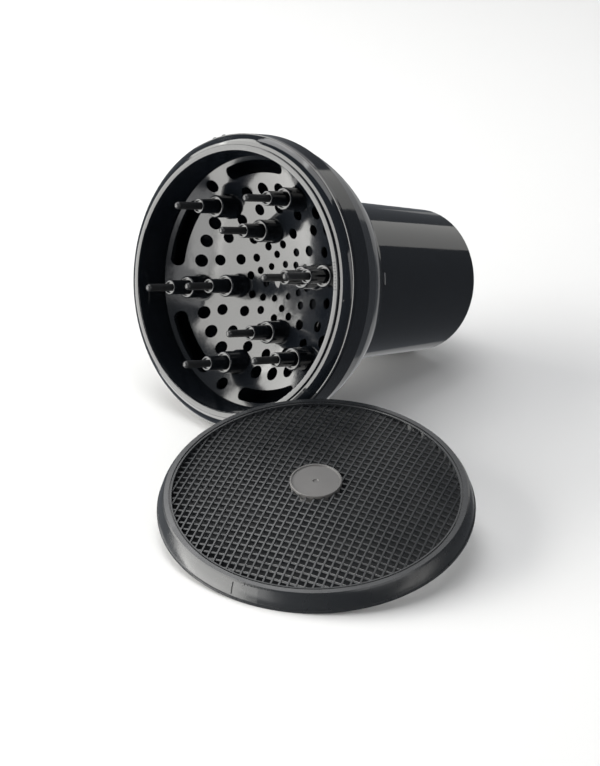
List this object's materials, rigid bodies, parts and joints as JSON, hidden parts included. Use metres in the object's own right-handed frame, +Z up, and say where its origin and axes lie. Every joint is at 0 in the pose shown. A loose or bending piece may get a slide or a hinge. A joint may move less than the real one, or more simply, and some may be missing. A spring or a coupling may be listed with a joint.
{
  "type": "hair dryer diffuser",
  "caption": "Hair dryer diffuser: a bowl with a tapered collar and barrel sleeve, a twist-on head with telescopic fingers over a perforated dish, and a spare domed grille head.",
  "frame": {"origin": "bottom centre of the box round the whole set, on the surface it rests on", "axes": "+Z up, +X the horizontal direction that the bowl's mouth faces, +Y towards the grille head's side"},
  "size_m": [0.3008, 0.2764, 0.155],
  "materials": {
    "bowl_gloss": "high gloss",
    "collar_gloss": "high gloss",
    "sleeve_rubber": "matt",
    "head_gloss": "high gloss",
    "dish_gloss": "gloss",
    "finger_gloss": "gloss",
    "tip_satin": "satin",
    "grille_rim_satin": "satin",
    "grille_rib_satin": "satin",
    "boss_satin": "satin"
  },
  "bodies": {
    "bowl": {"bowl_shell": "bowl_gloss", "collar": "collar_gloss", "adapter_sleeve": "sleeve_rubber"},
    "finger_head": {"finger_head_rim": "head_gloss", "finger_dish": "dish_gloss", "finger_bases": "finger_gloss"},
    "grille_head": {"grille_rim": "grille_rim_satin", "grille_upper_ribs": "grille_rib_satin", "grille_lower_ribs": "grille_rib_satin", "grille_boss": "boss_satin"},
    "sleeve_01": {"finger_sleeve_01": "finger_gloss"},
    "tip_01": {"finger_tip_01": "tip_satin"},
    "sleeve_02": {"finger_sleeve_02": "finger_gloss"},
    "tip_02": {"finger_tip_02": "tip_satin"},
    "sleeve_03": {"finger_sleeve_03": "finger_gloss"},
    "tip_03": {"finger_tip_03": "tip_satin"},
    "sleeve_04": {"finger_sleeve_04": "finger_gloss"},
    "tip_04": {"finger_tip_04": "tip_satin"},
    "sleeve_05": {"finger_sleeve_05": "finger_gloss"},
    "tip_05": {"finger_tip_05": "tip_satin"},
    "sleeve_06": {"finger_sleeve_06": "finger_gloss"},
    "tip_06": {"finger_tip_06": "tip_satin"},
    "sleeve_07": {"finger_sleeve_07": "finger_gloss"},
    "tip_07": {"finger_tip_07": "tip_satin"},
    "sleeve_08": {"finger_sleeve_08": "finger_gloss"},
    "tip_08": {"finger_tip_08": "tip_satin"},
    "sleeve_09": {"finger_sleeve_09": "finger_gloss"},
    "tip_09": {"finger_tip_09": "tip_satin"},
    "sleeve_10": {"finger_sleeve_10": "finger_gloss"},
    "tip_10": {"finger_tip_10": "tip_satin"}
  },
  "joints": [
    {"name": "finger_head_twist", "type": "hinge", "parent": "bowl", "child": "finger_head", "pos_m": [0.00827, -0.0597, 0.07882], "axis": [0.9658, 0, 0.2591], "range_deg": [0, 18]},
    {"name": "sleeve_slide_01", "type": "slide", "parent": "finger_head", "child": "sleeve_01", "axis": [-0.9658, 0, -0.2591], "range_m": [0, 0.01]},
    {"name": "tip_slide_01", "type": "slide", "parent": "sleeve_01", "child": "tip_01", "axis": [-0.9658, 0, -0.2591], "range_m": [0, 0.012]},
    {"name": "sleeve_slide_02", "type": "slide", "parent": "finger_head", "child": "sleeve_02", "axis": [-0.9658, 0, -0.2591], "range_m": [0, 0.01]},
    {"name": "tip_slide_02", "type": "slide", "parent": "sleeve_02", "child": "tip_02", "axis": [-0.9658, 0, -0.2591], "range_m": [0, 0.012]},
    {"name": "sleeve_slide_03", "type": "slide", "parent": "finger_head", "child": "sleeve_03", "axis": [-0.9658, 0, -0.2591], "range_m": [0, 0.01]},
    {"name": "tip_slide_03", "type": "slide", "parent": "sleeve_03", "child": "tip_03", "axis": [-0.9658, 0, -0.2591], "range_m": [0, 0.012]},
    {"name": "sleeve_slide_04", "type": "slide", "parent": "finger_head", "child": "sleeve_04", "axis": [-0.9658, 0, -0.2591], "range_m": [0, 0.01]},
    {"name": "tip_slide_04", "type": "slide", "parent": "sleeve_04", "child": "tip_04", "axis": [-0.9658, 0, -0.2591], "range_m": [0, 0.012]},
    {"name": "sleeve_slide_05", "type": "slide", "parent": "finger_head", "child": "sleeve_05", "axis": [-0.9658, 0, -0.2591], "range_m": [0, 0.01]},
    {"name": "tip_slide_05", "type": "slide", "parent": "sleeve_05", "child": "tip_05", "axis": [-0.9658, 0, -0.2591], "range_m": [0, 0.012]},
    {"name": "sleeve_slide_06", "type": "slide", "parent": "finger_head", "child": "sleeve_06", "axis": [-0.9658, 0, -0.2591], "range_m": [0, 0.01]},
    {"name": "tip_slide_06", "type": "slide", "parent": "sleeve_06", "child": "tip_06", "axis": [-0.9658, 0, -0.2591], "range_m": [0, 0.012]},
    {"name": "sleeve_slide_07", "type": "slide", "parent": "finger_head", "child": "sleeve_07", "axis": [-0.9658, 0, -0.2591], "range_m": [0, 0.01]},
    {"name": "tip_slide_07", "type": "slide", "parent": "sleeve_07", "child": "tip_07", "axis": [-0.9658, 0, -0.2591], "range_m": [0, 0.012]},
    {"name": "sleeve_slide_08", "type": "slide", "parent": "finger_head", "child": "sleeve_08", "axis": [-0.9658, 0, -0.2591], "range_m": [0, 0.01]},
    {"name": "tip_slide_08", "type": "slide", "parent": "sleeve_08", "child": "tip_08", "axis": [-0.9658, 0, -0.2591], "range_m": [0, 0.012]},
    {"name": "sleeve_slide_09", "type": "slide", "parent": "finger_head", "child": "sleeve_09", "axis": [-0.9658, 0, -0.2591], "range_m": [0, 0.01]},
    {"name": "tip_slide_09", "type": "slide", "parent": "sleeve_09", "child": "tip_09", "axis": [-0.9658, 0, -0.2591], "range_m": [0, 0.012]},
    {"name": "sleeve_slide_10", "type": "slide", "parent": "finger_head", "child": "sleeve_10", "axis": [-0.9658, 0, -0.2591], "range_m": [0, 0.01]},
    {"name": "tip_slide_10", "type": "slide", "parent": "sleeve_10", "child": "tip_10", "axis": [-0.9658, 0, -0.2591], "range_m": [0, 0.012]},
    {"name": "grille_head_lift", "type": "slide", "parent": "bowl", "child": "grille_head", "axis": [0.7791, 0.3781, 0.5], "range_m": [0, 0.15]}
  ]
}
